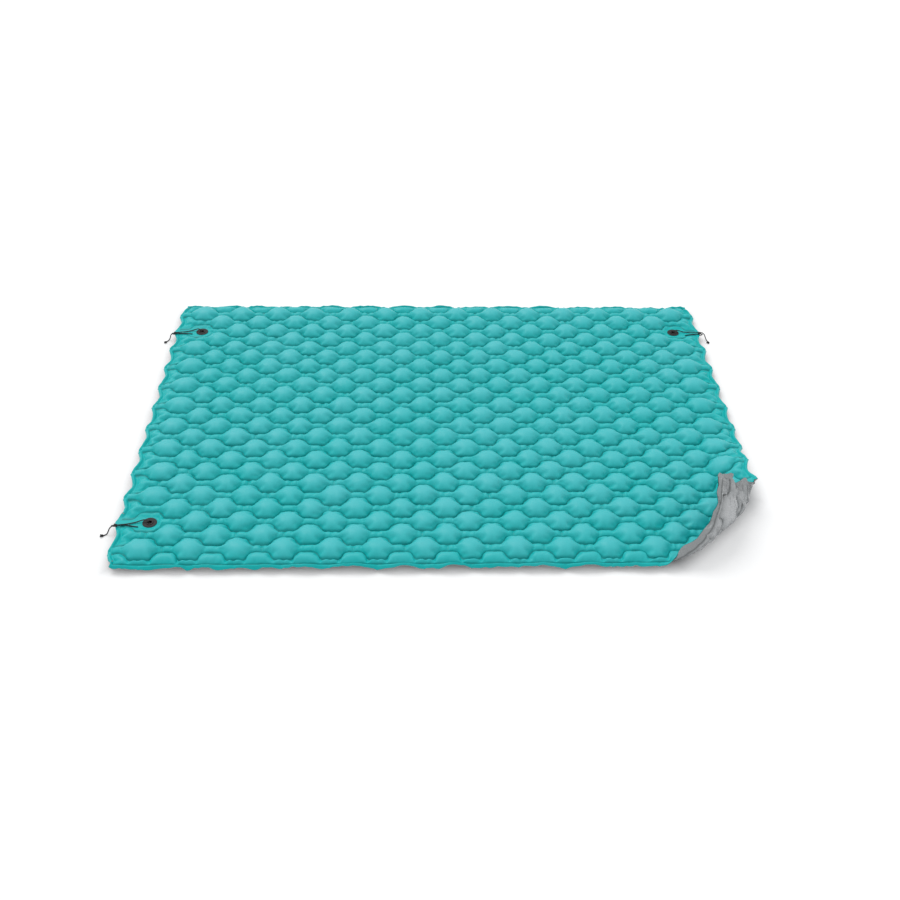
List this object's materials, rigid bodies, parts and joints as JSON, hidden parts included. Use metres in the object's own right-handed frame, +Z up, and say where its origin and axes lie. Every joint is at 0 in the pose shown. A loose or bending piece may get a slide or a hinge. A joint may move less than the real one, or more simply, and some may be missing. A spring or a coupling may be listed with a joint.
{
  "type": "swim float mat",
  "caption": "Inflatable float mat: vinyl sheets welded along wavy seams into rows of puffy bumps, with corner grommets, tie cords, a turned-up corner and an air valve.",
  "frame": {"origin": "centre of the mat's base rectangle, on the ground", "axes": "+X to the right along the long side, +Y to the back, +Z up out of the teal sheet"},
  "size_m": [3.0058, 2.13, 0.324],
  "materials": {
    "teal_sheet": "coated vinyl film, satin gloss",
    "silver_sheet": "coated vinyl film, glossy silver grey",
    "grommet_plastic": "moulded, satin",
    "tie_cord": "braided, matt",
    "valve_plastic": "moulded, satin",
    "seal_rubber": "matt",
    "flap_rubber": "soft and translucent"
  },
  "bodies": {
    "mat": {"top_sheet": "teal_sheet", "bottom_sheet": "silver_sheet", "grommet_flange_front_left": "grommet_plastic", "grommet_flange_front_right": "grommet_plastic", "grommet_flange_back_left": "grommet_plastic", "grommet_flange_back_right": "grommet_plastic", "grommet_washer_front_left": "grommet_plastic", "grommet_washer_front_right": "grommet_plastic", "grommet_washer_back_left": "grommet_plastic", "grommet_washer_back_right": "grommet_plastic", "tie_cord_front_left": "tie_cord", "tie_cord_back_left": "tie_cord", "tie_cord_back_right": "tie_cord", "valve_base": "valve_plastic"},
    "valve_seal": {"valve_seal": "seal_rubber"},
    "valve_collar": {"valve_collar": "valve_plastic", "valve_flap_anchor": "flap_rubber"},
    "valve_flap": {"valve_flap": "flap_rubber"},
    "valve_cap": {"valve_cap": "valve_plastic", "valve_cap_leash": "valve_plastic"}
  },
  "joints": [
    {"name": "valve_collar_travel", "type": "slide", "parent": "mat", "child": "valve_seal", "axis": [0, 0, -1], "range_m": [0, 0.003]},
    {"name": "valve_collar_turn", "type": "hinge", "parent": "valve_seal", "child": "valve_collar", "pos_m": [-1.1, 0.609, 0.014], "axis": [0, 0, -1], "range_deg": [0, 540]},
    {"name": "valve_flap_hinge", "type": "hinge", "parent": "valve_collar", "child": "valve_flap", "pos_m": [-1.0903, 0.609, 0.0187], "axis": [0, 1, 0], "range_deg": [0, 35]},
    {"name": "valve_cap_pull", "type": "slide", "parent": "valve_collar", "child": "valve_cap", "axis": [0, 0, -1], "range_m": [0, 0.005]}
  ],
  "couplings": [
    {"joint": "valve_collar_travel", "follows": "valve_collar_turn", "m_per_rad": 0.0003183}
  ]
}
